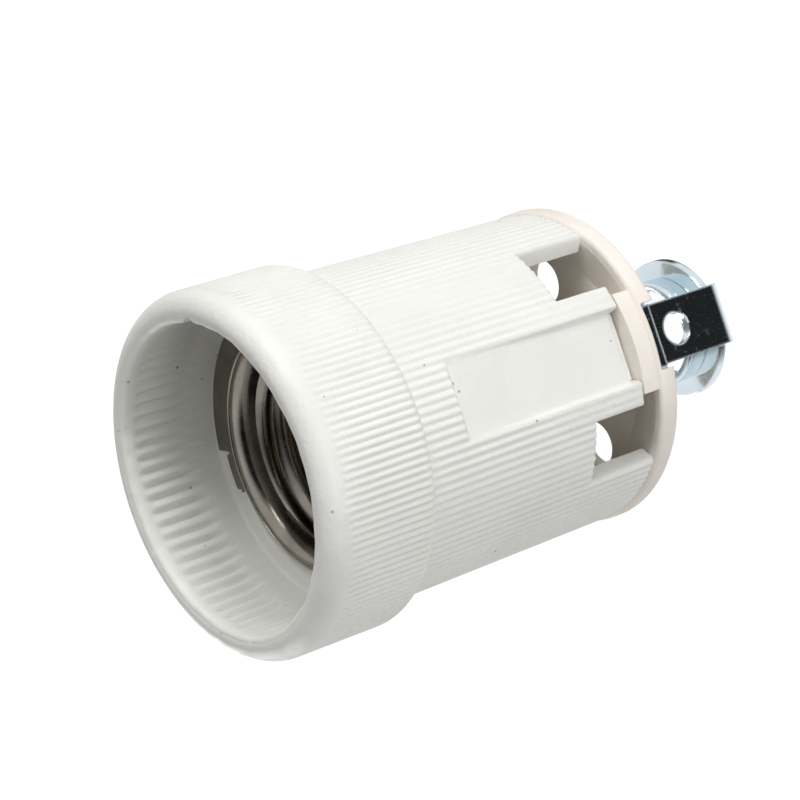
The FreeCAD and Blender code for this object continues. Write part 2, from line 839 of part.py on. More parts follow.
def centre_contact():
    """The plunger: domed head, stem and retaining tail."""
    stop = size("deck_rear") - size("strip_thickness") - size("guide_peen") - size("plunger_stop_gap")
    head = spring_seat() + size("spring_height")
    crown = head + size("plunger_head_height")
    return turned("centre_contact", [
        (0, stop - size("plunger_tail_height")),
        (size("plunger_tail_radius"), stop - size("plunger_tail_height")),
        (size("plunger_tail_radius"), stop),
        (size("plunger_radius"), stop),
        (size("plunger_radius"), head),
        (size("plunger_head_radius"), head),
        (size("plunger_head_radius"), crown),
        (size("plunger_head_radius") / 2, crown + size("plunger_dome")),
        (0, crown + size("plunger_dome")),
    ])


def contact_spring():
    """A round-wire coil between the guide bush and the plunger's head."""
    gap = size("plunger_stop_gap")
    helix = doc.addObject("Part::Helix", "spring_path")
    helix.SegmentLength = 0.5
    rise = "(spring_height - 2 * spring_wire_radius - 2 * plunger_stop_gap)"
    bind(helix, {
        "Height": rise,
        "Pitch": rise + " / spring_turns",
        "Radius": "spring_radius",
        "Placement.Base.z": "deck_front + fibre_thickness + guide_flange + spring_wire_radius"
                            " + plunger_stop_gap",
    })
    section = doc.addObject("Part::Circle", "spring_section")
    section.Placement = Placement(
        Vector(0, 0, spring_seat() + size("spring_wire_radius") + gap), Rotation(Vector(1, 0, 0), 90))
    bind(section, {"Radius": "spring_wire_radius", "Placement.Base.x": "spring_radius"})
    coil = doc.addObject("Part::Sweep", "contact_spring")
    coil.Sections = [section]
    coil.Spine = (helix, [])
    coil.Solid = True
    coil.Frenet = True
    return coil


# -------------------------------------------------------------------- build

def build_nodes():
    nodes = [
        porcelain_body(), porcelain_base(), yoke(), entry_bush(), screw_shell(),
        shell_screws(), shell_washers(), shell_nut(), yoke_nuts(), yoke_screws(),
        shell_terminal(), centre_terminal(), fibre_washer(), guide_bush(), centre_contact(),
        contact_spring(),
    ]
    for name, sign in (("shell", 1), ("centre", -1)):
        nodes.append(clamp_plate(name + "_clamp_plate", sign))
        nodes.append(clamp_screw(name + "_clamp_screw", sign))
    return nodes


def export(nodes):
    doc.recompute()
    for thing in doc.Objects:
        if "Invalid" in thing.State or "Error" in thing.State:
            raise RuntimeError("%s did not build" % thing.Label)
    for node in nodes:
        if node.Shape.isNull() or not node.Shape.isValid():
            raise RuntimeError("%s has no valid shape" % node.Label)
        node.Shape.exportStep("parts/%s.step" % node.Label)


export(build_nodes())
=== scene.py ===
# %% [markdown]
# # A porcelain lamp holder, dressed for its picture
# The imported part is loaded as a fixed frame. Four of its nodes are then rebuilt as finer
# meshes: the porcelain body with its soft ribs, the rolled shell and the entry bush with true
# thread helices, and the contact spring. Every other node keeps its shape and gets a material.
# Blender works in metres. The part's sizes are written in millimetres and multiplied by MM;
# the finishes and the lamps use metres.

import math

import bpy
import numpy as np
from mathutils import Matrix, Vector

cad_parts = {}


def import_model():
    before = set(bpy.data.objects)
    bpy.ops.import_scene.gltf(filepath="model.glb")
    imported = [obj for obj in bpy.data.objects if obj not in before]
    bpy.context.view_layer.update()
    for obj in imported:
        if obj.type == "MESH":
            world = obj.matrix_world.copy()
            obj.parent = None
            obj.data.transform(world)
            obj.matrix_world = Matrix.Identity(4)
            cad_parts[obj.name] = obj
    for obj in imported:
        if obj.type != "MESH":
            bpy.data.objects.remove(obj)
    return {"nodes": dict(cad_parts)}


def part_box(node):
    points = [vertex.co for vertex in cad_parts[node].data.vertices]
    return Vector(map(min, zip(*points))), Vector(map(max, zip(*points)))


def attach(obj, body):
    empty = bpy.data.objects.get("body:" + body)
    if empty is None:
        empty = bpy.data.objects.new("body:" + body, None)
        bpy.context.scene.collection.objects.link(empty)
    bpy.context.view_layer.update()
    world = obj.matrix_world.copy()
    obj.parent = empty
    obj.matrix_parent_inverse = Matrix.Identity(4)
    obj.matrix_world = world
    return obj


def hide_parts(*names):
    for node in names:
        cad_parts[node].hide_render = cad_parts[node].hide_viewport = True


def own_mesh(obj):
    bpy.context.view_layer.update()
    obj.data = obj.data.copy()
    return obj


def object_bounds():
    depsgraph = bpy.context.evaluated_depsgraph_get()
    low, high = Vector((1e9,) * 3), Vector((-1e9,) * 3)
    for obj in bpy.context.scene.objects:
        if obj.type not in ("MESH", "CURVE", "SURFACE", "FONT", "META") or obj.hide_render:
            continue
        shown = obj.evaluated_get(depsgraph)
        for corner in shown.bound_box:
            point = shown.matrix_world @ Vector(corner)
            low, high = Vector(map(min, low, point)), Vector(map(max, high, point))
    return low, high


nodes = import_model()["nodes"]
size_before = [list(corner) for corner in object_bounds()]
print("nodes:", len(nodes), "box:", size_before)

MM = 0.001

# %% [markdown]
# ## Node-group helpers
# Some marks, such as specks and scratches, belong to more than one finish. Their nodes could be
# copied into each material, but a node group is made once, and a change to it reaches them all.
# A group here puts out only a mask; the shaders stay in the materials.

# %% Group helper


def new_group(name, inputs, outputs):
    """An empty shader node group with float sockets."""
    group = bpy.data.node_groups.new(name, "ShaderNodeTree")
    for label, default in inputs:
        socket = group.interface.new_socket(label, in_out="INPUT", socket_type="NodeSocketFloat")
        socket.default_value = default
    for label in outputs:
        group.interface.new_socket(label, in_out="OUTPUT", socket_type="NodeSocketFloat")
    return group, group.nodes.new("NodeGroupInput"), group.nodes.new("NodeGroupOutput")


def math_node(tree, kind, first, second=None, clamp=False):
    """A Math node fed by sockets or plain numbers; returns its output."""
    node = tree.nodes.new("ShaderNodeMath")
    node.operation = kind
    node.use_clamp = clamp
    for index, value in enumerate((first, second)):
        if value is None:
            continue
        if isinstance(value, (int, float)):
            node.inputs[index].default_value = value
        else:
            tree.links.new(value, node.inputs[index])
    return node.outputs[0]


def ramp(tree, value, low, high, out_low=0.0, out_high=1.0):
    """A clamped straight mapping of a value."""
    node = tree.nodes.new("ShaderNodeMapRange")
    tree.links.new(value, node.inputs["Value"])
    for label, number in (("From Min", low), ("From Max", high), ("To Min", out_low),
                          ("To Max", out_high)):
        node.inputs[label].default_value = number
    return node.outputs["Result"]


def noise(tree, scale, detail=3.0, rough=0.5, stretch=None):
    """A noise texture on object coordinates, optionally stretched."""
    coords = tree.nodes.new("ShaderNodeTexCoord")
    vector = coords.outputs["Object"]
    if stretch:
        mapping = tree.nodes.new("ShaderNodeMapping")
        mapping.inputs["Scale"].default_value = stretch
        tree.links.new(vector, mapping.inputs["Vector"])
        vector = mapping.outputs["Vector"]
    node = tree.nodes.new("ShaderNodeTexNoise")
    node.inputs["Scale"].default_value = scale
    node.inputs["Detail"].default_value = detail
    node.inputs["Roughness"].default_value = rough
    tree.links.new(vector, node.inputs["Vector"])
    return node.outputs["Fac"]


# %% [markdown]
# ## Specks
# Fired porcelain carries sparse dark iron specks. They could be painted on an image, but a
# Voronoi pattern scatters them over any shape and needs no unwrapping. A cell holds a speck only
# where its random colour falls under a chosen share.

# %% Speck group


def make_specks():
    group, given, out = new_group(
        "Specks", [("Scale", 300.0), ("Share", 0.1), ("Size", 0.2)], ["Mask"])
    coords = group.nodes.new("ShaderNodeTexCoord")
    cells = group.nodes.new("ShaderNodeTexVoronoi")
    group.links.new(coords.outputs["Object"], cells.inputs["Vector"])
    group.links.new(given.outputs["Scale"], cells.inputs["Scale"])
    split = group.nodes.new("ShaderNodeSeparateColor")
    group.links.new(cells.outputs["Color"], split.inputs["Color"])
    chosen = math_node(group, "LESS_THAN", split.outputs["Red"], given.outputs["Share"])
    reach = math_node(group, "MULTIPLY", split.outputs["Green"], given.outputs["Size"])
    near = math_node(group, "SUBTRACT", reach, cells.outputs["Distance"])
    inside = ramp(group, near, 0.0, 0.12)
    group.links.new(math_node(group, "MULTIPLY", chosen, inside), out.inputs["Mask"])
    return group


SPECKS = make_specks()

# %% [markdown]
# ## Scratches
# Plated sheet picks up fine scratches that run mostly along two directions. Drawing each one
# would be endless, so two stretched noises are kept only at their peaks, which leaves thin lines.

# %% Scratch group


def make_scratches():
    group, _given, out = new_group("Scratches", [], ["Mask"])
    total = None
    for stretch in ((1, 14, 1), (16, 2, 2)):
        line = ramp(group, noise(group, 900, 2.0, 0.5, stretch), 0.62, 0.7)
        total = line if total is None else math_node(group, "MAXIMUM", total, line)
    group.links.new(total, out.inputs["Mask"])
    return group


SCRATCHES = make_scratches()
print("shared groups:", SPECKS.name, SCRATCHES.name)

# %% [markdown]
# ## Material helpers
# Every finish is one Principled shader with a few nodes in front of it. The helpers below make
# the nodes that they all need: a colour mix, a group, a bump, and normals rounded over sharp
# edges. Writing each once leaves a finish with nothing but its own colours and scales.

# %% Material helpers


def new_material(name):
    material = bpy.data.materials.new(name)
    material.use_nodes = True
    return material, material.node_tree, material.node_tree.nodes["Principled BSDF"]


def mix(tree, factor, first, second):
    """A colour mix of two colours or sockets."""
    node = tree.nodes.new("ShaderNodeMix")
    node.data_type = "RGBA"
    tree.links.new(factor, node.inputs["Factor"])
    for label, value in (("A", first), ("B", second)):
        socket = [s for s in node.inputs if s.name == label and s.type == "RGBA"][0]
        if isinstance(value, tuple):
            socket.default_value = (*value, 1)
        else:
            tree.links.new(value, socket)
    return [s for s in node.outputs if s.type == "RGBA"][0]


def group_node(tree, group, **values):
    node = tree.nodes.new("ShaderNodeGroup")
    node.node_tree = group
    for label, value in values.items():
        node.inputs[label].default_value = value
    return node.outputs[0]


def bump(tree, height, distance, strength=1.0, normal=None):
    node = tree.nodes.new("ShaderNodeBump")
    node.inputs["Strength"].default_value = strength
    node.inputs["Distance"].default_value = distance
    tree.links.new(height, node.inputs["Height"])
    if normal is not None:
        tree.links.new(normal, node.inputs["Normal"])
    return node.outputs["Normal"]


def soft_edges(tree, radius):
    """Normals rounded over sharp edges."""
    node = tree.nodes.new("ShaderNodeBevel")
    node.samples = 4
    node.inputs["Radius"].default_value = radius
    return node.outputs["Normal"]


# %% [markdown]
# ## Porcelain
# The body is fired clay under a thin, half-matt glaze: nearly white, a little cloudy, with small
# iron specks and a pebbly skin. A single white under a glossy coat would look like plastic. Here
# noise moves the colour and roughness a little, specks of two sizes lie in it, two layers of
# bump give the skin, and a trace of light passes under thin edges. The base is a warmer clay.

# %% Glazed porcelain
IRON = (0.16, 0.13, 0.10)
IRON_SHOW = 0.75
PEBBLE_SCALE, PEBBLE_HEIGHT = 420, 0.00016
GRAIN_SCALE, GRAIN_HEIGHT = 1500, 0.00009
CLAY_EDGE = 0.0003


def porcelain(name, colour, shade, share, roughness, edges=False):
    material, tree, shader = new_material(name)
    tone = mix(tree, ramp(tree, noise(tree, 90, 4.0), 0.35, 0.7), colour, shade)
    fine = group_node(tree, SPECKS, Scale=950.0, Share=share, Size=0.24)
    coarse = group_node(tree, SPECKS, Scale=520.0, Share=share * 0.4, Size=0.15)
    spots = math_node(tree, "MAXIMUM", fine, coarse)
    spotted = mix(tree, math_node(tree, "MULTIPLY", spots, IRON_SHOW), tone, IRON)
    tree.links.new(spotted, shader.inputs["Base Color"])
    gloss = ramp(tree, noise(tree, 500, 2.0), 0.3, 0.7, roughness - 0.08, roughness + 0.1)
    tree.links.new(gloss, shader.inputs["Roughness"])
    normal = soft_edges(tree, CLAY_EDGE) if edges else None
    pebbles = bump(tree, noise(tree, PEBBLE_SCALE, 2.0), PEBBLE_HEIGHT, 0.7, normal)
    grain = bump(tree, noise(tree, GRAIN_SCALE, 3.0), GRAIN_HEIGHT, 0.8, pebbles)
    tree.links.new(grain, shader.inputs["Normal"])
    shader.inputs["Subsurface Weight"].default_value = 0.06
    shader.inputs["Subsurface Radius"].default_value = (0.002, 0.0016, 0.0012)
    return material


BODY = porcelain("body_glaze", (0.79, 0.79, 0.755), (0.755, 0.75, 0.715), 0.07, 0.5)
BASE = porcelain("base_biscuit", (0.84, 0.79, 0.73), (0.80, 0.74, 0.67), 0.03, 0.55, edges=True)
print("porcelain:", BODY.name, BASE.name)

# %% [markdown]
# ## Plated and bare metals
# The yoke and bush are bright zinc plate, the shell is nickel plate, the fasteners are
# steel, and the parts that carry current are brass. The shell's colours are set far darker than
# nickel: painted shade, for the dark mouth that it mirrors. Metal shows little colour of its own,
# so what matters is how sharply it mirrors its surroundings. One function makes them all: a cloudy
# tint, a roughness that varies and rises in the scratches, and edges rounded in the normal.

# %% Plated and bare metals
WAVE_SCALE, WAVE_HEIGHT = 260, 0.00006


def metal(name, colour, roughness, worn=None, edge=0.00012, scratch=0.25):
    material, tree, shader = new_material(name)
    shader.inputs["Metallic"].default_value = 1.0
    cloud = ramp(tree, noise(tree, 220, 4.0), 0.35, 0.7)
    tone = mix(tree, cloud, colour, worn or tuple(0.86 * c for c in colour))
    tree.links.new(tone, shader.inputs["Base Color"])
    marks = math_node(tree, "MULTIPLY", group_node(tree, SCRATCHES), scratch)
    blur = ramp(tree, noise(tree, 700, 3.0), 0.3, 0.7, roughness * 0.7, roughness * 1.4)
    tree.links.new(math_node(tree, "ADD", blur, marks), shader.inputs["Roughness"])
    normal = soft_edges(tree, edge) if edge else None
    waves = bump(tree, noise(tree, WAVE_SCALE, 2.0), WAVE_HEIGHT, 0.35, normal)
    tree.links.new(waves, shader.inputs["Normal"])
    return material


ZINC = metal("zinc_plate", (0.72, 0.80, 0.83), 0.08, (0.62, 0.72, 0.78), edge=0.0005, scratch=0.2)
# Nickel plate, but both colours are darkened well below real nickel: painted shade for the dark
# mouth the shell mirrors.
NICKEL_PAINTED_DARK = metal("nickel_plate_painted_shade", (0.27, 0.25, 0.22), 0.17, (0.19, 0.175, 0.15), edge=0, scratch=0.1)
STEEL = metal("bright_screws", (0.68, 0.69, 0.68), 0.24)
BRASS = metal("plain_brass", (0.80, 0.62, 0.30), 0.26)
WIRE = metal("spring_wire", (0.42, 0.42, 0.43), 0.3, edge=0)
print("metals:", [finish.name for finish in (ZINC, NICKEL_PAINTED_DARK, STEEL, BRASS, WIRE)])

# %% [markdown]
# ## Red fibre
# The insulating washer is pressed from layered fibre. A noise that is squeezed along the axis
# gives it faint layers, and it has little gloss.

# %% Fibre


def fibre():
    material, tree, shader = new_material("red_fibre")
    tone = mix(tree, noise(tree, 900, 4.0, 0.6, (1, 1, 6)), (0.34, 0.10, 0.06), (0.46, 0.17, 0.1))
    tree.links.new(tone, shader.inputs["Base Color"])
    shader.inputs["Roughness"].default_value = 0.7
    tree.links.new(bump(tree, noise(tree, 1500, 3.0), 0.00005, 0.5), shader.inputs["Normal"])
    return material


FIBRE = fibre()
print("fibre:", FIBRE.name)

# %% [markdown]
# ## Finishes of the nodes
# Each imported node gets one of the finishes. The nodes that are rebuilt below are listed too, so
# that no node is ever left plain.

# %% Give every node its material
FINISH = {
    "porcelain_body": BODY, "porcelain_base": BASE, "yoke": ZINC, "entry_bush": ZINC,
    "screw_shell": NICKEL_PAINTED_DARK, "shell_screws": STEEL, "shell_washers": STEEL, "shell_nut": STEEL,
    "yoke_nuts": STEEL, "yoke_screws": STEEL, "shell_terminal": BRASS, "centre_terminal": BRASS,
    "fibre_washer": FIBRE, "guide_bush": BRASS, "centre_contact": BRASS, "contact_spring": WIRE,
    "shell_clamp_plate": STEEL, "shell_clamp_screw": STEEL, "centre_clamp_plate": STEEL,
    "centre_clamp_screw": STEEL,
}
for node_name, material in FINISH.items():
    slots = nodes[node_name].data.materials
    slots.clear()
    slots.append(material)
print("materials:", len(set(FINISH.values())))

# %% [markdown]
# ## Levels
# The finer meshes have to meet the pieces that stay. Their levels could be typed in, but then
# they would drift apart from the part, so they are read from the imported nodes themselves.

# %% Read the levels
BODY_LOW, BODY_HIGH = (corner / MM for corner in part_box("porcelain_body"))
SHELL_LOW, SHELL_HIGH = (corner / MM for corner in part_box("screw_shell"))
MOUTH = BODY_HIGH.z
REAR = BODY_LOW.z
DECK_FRONT = SHELL_LOW.z
WALL = 0.5
LEDGE = SHELL_HIGH.z - WALL
SKIRT_R = BODY_HIGH.x
SHELL_TAB_R = SHELL_HIGH.x
print("mouth", MOUTH, "rear", REAR, "ledge", LEDGE, "skirt radius", SKIRT_R)

# %% [markdown]
# ## The porcelain body as a fine mesh
# The real body is pressed and fired in one piece. Cutting hundreds of ribs from a solid would be
# slow and leave hard edges, and a bump would not show at the outline. So it is one closed grid:
# columns run round the axis, and rows follow its section from the barrel's rear edge over the
# skirt and lip, down the mouth and bore, and back along the cavity. Ribs, the sloping panel and
# rounded edges only change the radius of the outer rows.

# %% Body sizes, in millimetres and degrees
COLUMNS = 900
SKIRT_RIBS = 150
BARREL_RIBS = 120
MOUTH_RIBS = 70
MOUTH_RIB = 0.75
RIB = 0.25
ROW_GAP, PANEL_ROW_GAP = 2.4, 2.8
BARREL_FRONT_R, BARREL_REAR_R = 21.0, 20.5
STEP = MOUTH - 16.0
STEP_FILLET, SHOULDER_ROUND, LIP_ROUND = 0.5, 1.5, 2.6
SKIRT_END = MOUTH - 3.4
SKIRT_RIB_END, SKIRT_RIB_FADE = MOUTH - 3.0, 1.2
MOUTH_R = 19.3
MOUTH_RIB_START, MOUTH_RIB_END = MOUTH - 1.8, MOUTH - 10.8
LEDGE_ROUND, BORE_CHAMFER = 0.5, 0.3
BORE_R = 14.6
CONTACT_HOLE = 2.7
CAVITY_R = 18.0
CAVITY_ROUND = 0.6
DECK_REAR = DECK_FRONT - 4.0
PANEL_TOP = REAR + 31.0
PANEL_END = REAR + 4.0
PANEL_SPREAD = 13.6
PANEL_REACH = 30
PANEL_HALF = 4.85
PANEL_FLAT = 20.15
PANEL_SLOPE = 2.0
CALM_SPREAD, CALM_RISE, CALM_SHARE = 21.0, 14.0, 0.75
RIM_END = REAR + 2.8
NOTCH_TOP = REAR + 10.9
NOTCH_IN, NOTCH_OUT = 22.8, 46.4
EDGE_ROUND = 0.45
CHIP_TURN = 344.0
CHIP_DEPTH = 0.8
CHIP_WIDTH = 2.0
print("columns for each skirt rib:", COLUMNS / SKIRT_RIBS)

# %% Section of the body: (radius, level, kind) rows


def arc(centre_r, centre_z, radius, start, end, steps, kind):
    """Rows along an arc in the section, angles in degrees from +radius towards +Z."""
    rows = []
    for step in range(steps + 1):
        angle = math.radians(start + (end - start) * step / steps)
        rows.append((centre_r + radius * math.cos(angle),
                     centre_z + radius * math.sin(angle), kind))
    return rows


def line(start, end, steps, kind):
    """Rows along a straight run, without its first point."""
    return [(start[0] + (end[0] - start[0]) * step / steps,
             start[1] + (end[1] - start[1]) * step / steps, kind) for step in range(1, steps + 1)]


def barrel_radius(level):
    share = (level - REAR) / (STEP - REAR)
    return BARREL_REAR_R + share * (BARREL_FRONT_R - BARREL_REAR_R)


def outer_levels():
    """Levels of the barrel rows, packed closer near edges."""
    levels = set()
    for edge in (REAR, RIM_END, PANEL_END):
        levels.update(edge + offset for offset in (0.0, 0.06, 0.16, 0.3, 0.5))
    levels.update(NOTCH_TOP + offset for offset in (0.0, 0.06, 0.16, 0.3, 0.5, 0.9))
    levels.update(PANEL_TOP + offset for offset in (-0.9, -0.5, -0.25, 0.0, 0.25, 0.5))
    levels.update(np.arange(REAR + 5.2, NOTCH_TOP - 0.5, ROW_GAP))
    levels.update(np.arange(NOTCH_TOP + 1.6, PANEL_TOP - 1.2, PANEL_ROW_GAP))
    levels.update(np.arange(PANEL_TOP + 1.2, STEP - 0.6, ROW_GAP))
    return sorted(levels)


# The lip's inner edge, with its parting line: (outwards, downwards, kind)
PARTING = ((0.95, 0.05, "lip"), (0.85, 0.13, "lip"), (0.75, 0.12, "edge"), (0.45, 0.2, "edge"),
           (0.2, 0.38, "edge"), (0.05, 0.65, "edge"))


def body_section():
    rows = [(barrel_radius(level), level, "barrel") for level in outer_levels()]
    rows += arc(BARREL_FRONT_R + STEP_FILLET, STEP - STEP_FILLET, STEP_FILLET, 180, 90, 3, "fillet")
    rows += arc(SKIRT_R - SHOULDER_ROUND, STEP + SHOULDER_ROUND, SHOULDER_ROUND, -78, 0, 7,
                "shoulder")
    rows += line((SKIRT_R, STEP + SHOULDER_ROUND), (SKIRT_R, SKIRT_END), 5, "skirt")
    rows += arc(SKIRT_R - LIP_ROUND, MOUTH - LIP_ROUND, LIP_ROUND, 0, 78, 9, "lip")
    for inset, drop, kind in PARTING:
        rows.append((MOUTH_R + inset, MOUTH - drop, kind))
    rows += line((MOUTH_R, MOUTH - 1.0), (MOUTH_R, MOUTH_RIB_START), 2, "mouth")
    rows += line((MOUTH_R, MOUTH_RIB_START), (MOUTH_R, MOUTH_RIB_END), 10, "mouth_rib")
    rows += line((MOUTH_R, MOUTH_RIB_END), (MOUTH_R, LEDGE + LEDGE_ROUND), 1, "mouth")
    rows += arc(MOUTH_R - LEDGE_ROUND, LEDGE + LEDGE_ROUND, LEDGE_ROUND, 0, -90, 3, "ledge")
    rows += line((MOUTH_R - LEDGE_ROUND, LEDGE), (BORE_R + BORE_CHAMFER, LEDGE), 1, "ledge")
    rows += line((BORE_R + BORE_CHAMFER, LEDGE), (BORE_R, LEDGE - BORE_CHAMFER), 1, "bore")
    rows += line((BORE_R, LEDGE - BORE_CHAMFER), (BORE_R, DECK_FRONT), 1, "bore")
    rows += line((BORE_R, DECK_FRONT), (CONTACT_HOLE, DECK_FRONT), 1, "deck")
    rows += line((CONTACT_HOLE, DECK_FRONT), (CONTACT_HOLE, DECK_REAR), 1, "deck")
    rows += line((CONTACT_HOLE, DECK_REAR), (CAVITY_R - CAVITY_ROUND, DECK_REAR), 1, "deck")
    rows += arc(CAVITY_R - CAVITY_ROUND, DECK_REAR - CAVITY_ROUND, CAVITY_ROUND, 90, 0, 3,
                "cavity")
    return rows


SECTION = body_section()
print("section rows:", len(SECTION))

# %% Radius of the outer surface at every column and row


def rise(distance, width):
    """0 at or under zero, 1 past the width, smooth between."""
    share = np.clip(distance / width, 0, 1)
    return share * share * (3 - 2 * share)


def ribs(angles, count, depth, phase=0.0):
    """Rounded crests and tighter valleys; 0 at a crest, -depth at a valley."""
    wave = 0.5 + 0.5 * np.cos(count * angles + phase)
    return -depth * (1 - wave ** 0.75)


ANGLES = np.arange(COLUMNS) * 2 * math.pi / COLUMNS
FOLD = (np.degrees(ANGLES) % 180.0) - 90.0  # degrees from the nearer end of the Y axis


def edge_drop(distance, radius):
    """How far a rounded edge falls away at a distance from it."""
    inside = np.clip(radius - distance, 0, radius)
    return radius - np.sqrt(np.maximum(radius * radius - inside * inside, 0))


def barrel_drop(level, radius):
    """Rounding of the rear edge and notch edges for one barrel row."""
    arc_mm = math.radians(1) * radius
    spread = np.abs(FOLD)
    end = np.where(spread < PANEL_SPREAD, PANEL_END, np.where(spread < NOTCH_IN, RIM_END, REAR))
    drop = edge_drop(level - end, EDGE_ROUND)
    side = np.maximum(NOTCH_IN - spread, spread - NOTCH_OUT) * arc_mm
    if level >= NOTCH_TOP:
        reach = np.hypot(np.maximum(side, 0), level - NOTCH_TOP)
        drop = np.maximum(drop, edge_drop(reach, EDGE_ROUND))
    else:
        drop = np.maximum(drop, edge_drop(np.maximum(side, 0), EDGE_ROUND))
    return drop


def panel_floor(level):
    """Distance of the sloping panel floor from the axis."""
    return PANEL_FLAT - (PANEL_TOP - level) * math.tan(math.radians(PANEL_SLOPE))


def barrel_surface(radius, level):
    """Ribs that calm down beside the panel, the panel's floor, and the rounded rear edges."""
    beside = (1 - rise(np.abs(FOLD) - CALM_SPREAD, 2.0)) * rise(
        np.array(NOTCH_TOP + CALM_RISE - level), CALM_RISE)
    value = radius + ribs(ANGLES, BARREL_RIBS, RIB * 0.8) * (1 - CALM_SHARE * beside)
    across = np.abs(radius * np.sin(np.radians(FOLD)))
    flat = panel_floor(level) / np.cos(np.radians(FOLD))
    mask = (1 - rise(across - PANEL_HALF + 0.2, 0.3)) * rise(PANEL_TOP + 0.2 - level, 0.4)
    mask = np.where(np.abs(FOLD) < PANEL_REACH, mask, 0)
    value = value * (1 - mask) + np.minimum(value, flat) * mask
    return value - barrel_drop(level, radius)


def lip_edge(radius):
    """The lip's inner edge is never quite round, and it has one chip."""
    wander = (0.05 * np.sin(7 * ANGLES) + 0.04 * np.sin(17 * ANGLES + 1)
              + 0.03 * np.sin(41 * ANGLES))
    chip = np.exp(-((np.degrees(ANGLES) - CHIP_TURN) / CHIP_WIDTH) ** 2)
    return radius + wander + CHIP_DEPTH * chip


def outer_radius(radius, level, kind):
    """Radius of one row at every column."""
    if kind == "barrel":
        return barrel_surface(radius, level)
    if kind == "fillet":
        return radius + ribs(ANGLES, BARREL_RIBS, RIB * 0.6)
    if kind == "shoulder":
        return radius + ribs(ANGLES, SKIRT_RIBS, RIB) * rise(np.array(level - STEP), 1.0)
    if kind == "skirt":
        fade = rise(np.array(SKIRT_RIB_END - level), SKIRT_RIB_FADE)
        return radius + ribs(ANGLES, SKIRT_RIBS, RIB) * fade
    if kind == "edge":
        return lip_edge(radius)
    if kind == "mouth_rib":
        fade = rise(np.array(MOUTH_RIB_START - level), 1.4) * rise(
            np.array(level - MOUTH_RIB_END), 2.4)
        return radius - ribs(ANGLES, MOUTH_RIBS, MOUTH_RIB) * fade
    return np.full(COLUMNS, radius)


# %% Build the body mesh


def ring_points(rings):
    """Vertices of stacked rings; every ring is (radii, level or levels)."""
    points = []
    for radii, levels in rings:
        levels = np.broadcast_to(levels, (COLUMNS,))
        points.append(np.column_stack((radii * np.cos(ANGLES), radii * np.sin(ANGLES), levels)))
    return np.concatenate(points) * MM


def filled(column, level):
    """Whether the wall is there just in front of a level, at a column's right-hand cell."""
    spread = abs(((column + 0.5) * 360.0 / COLUMNS) % 180.0 - 90.0)
    if level >= NOTCH_TOP - 1e-6:
        return True
    if NOTCH_IN < spread < NOTCH_OUT:
        return False
    end = PANEL_END if spread < PANEL_SPREAD else (RIM_END if spread < NOTCH_IN else REAR)
    return level >= end - 1e-6


def body_rows():
    """The closed run of rows: barrel, the rest of the section, and the cavity wall."""
    outer = [row for row in SECTION if row[2] == "barrel"]
    rest = [row for row in SECTION if row[2] != "barrel"]
    inner = [(CAVITY_R, row[1], "cavity") for row in reversed(outer) if row[1] < DECK_REAR - 0.7]
    return outer, rest, inner


def skin_faces(outer, rest, inner):
    """Quads between neighbouring rows, left out where a notch or a rear edge is open."""
    faces = []
    first_inner = len(outer) + len(rest)
    for ring in range(first_inner + len(inner) - 1):
        for column in range(COLUMNS):
            if ring < len(outer) - 1 and not filled(column, outer[ring][1]):
                continue
            if ring >= first_inner and not filled(column, inner[ring + 1 - first_inner][1]):
                continue
            following = (column + 1) % COLUMNS
            faces.append((ring * COLUMNS + column, ring * COLUMNS + following,
                          (ring + 1) * COLUMNS + following, (ring + 1) * COLUMNS + column))
    return faces


def wall_faces(outer, rest, inner):
    """Quads through the wall's thickness: the notch sides and the rear edges."""
    faces = []
    first_inner = len(outer) + len(rest)
    inner_ring = {round(row[1], 4): first_inner + index for index, row in enumerate(inner)}
    for ring in range(len(outer) - 1):
        low, high = round(outer[ring][1], 4), round(outer[ring + 1][1], 4)
        if low not in inner_ring or high not in inner_ring:
            continue
        near, far = ring * COLUMNS, (ring + 1) * COLUMNS
        in_near, in_far = inner_ring[low] * COLUMNS, inner_ring[high] * COLUMNS
        for column in range(COLUMNS):
            here = filled(column, outer[ring][1])
            left = filled((column - 1) % COLUMNS, outer[ring][1])
            below = ring > 0 and filled(column, outer[ring - 1][1])
            following = (column + 1) % COLUMNS
            if here and not left:
                faces.append((near + column, far + column, in_far + column, in_near + column))
            if left and not here:
                faces.append((near + column, in_near + column, in_far + column, far + column))
            if here and not below:
                faces.append((near + column, in_near + column,
                              in_near + following, near + following))
    return faces


def build_body():
    rows = body_rows()
    points = ring_points([(outer_radius(*row), row[1]) for part in rows for row in part])
    return points, skin_faces(*rows) + wall_faces(*rows)


def add_mesh(name, points, faces, material, smooth=True):
    mesh = bpy.data.meshes.new(name)
    mesh.from_pydata([tuple(p) for p in points], [], faces)
    mesh.materials.append(material)
    mesh.update()
    mesh.polygons.foreach_set("use_smooth", [smooth] * len(mesh.polygons))
    thing = bpy.data.objects.new(name, mesh)
    bpy.context.scene.collection.objects.link(thing)
    return thing


def mark_sharp(thing, degrees):
    """Smooth shading, but kept sharp over edges steeper than the angle."""
    thing.data.set_sharp_from_angle(angle=math.radians(degrees))


body_points, body_faces = build_body()
body = add_mesh("ribbed_body", body_points, body_faces, BODY)
mark_sharp(body, 50)
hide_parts("porcelain_body")
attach(body, "holder")
print("body triangles about", 2 * len(body_faces))

# %% [markdown]
# ## Bosses under the deck
# Two solid bosses reach from the deck to the base and take the yoke's nuts. They are plain
# blocks, so eight points each are enough, and a bevel modifier rounds their edges as on fired
# clay. Each is split in height to leave its nut pocket open.

# %% Build the bosses
BOSS_HALF = 4.5
BOSS_IN, BOSS_OUT = 12.9, 18.3
BOSS_LEVELS = ((REAR + 2.8, REAR + 7.05), (REAR + 9.75, DECK_REAR + 0.5))
BOSS_EDGE = 0.4


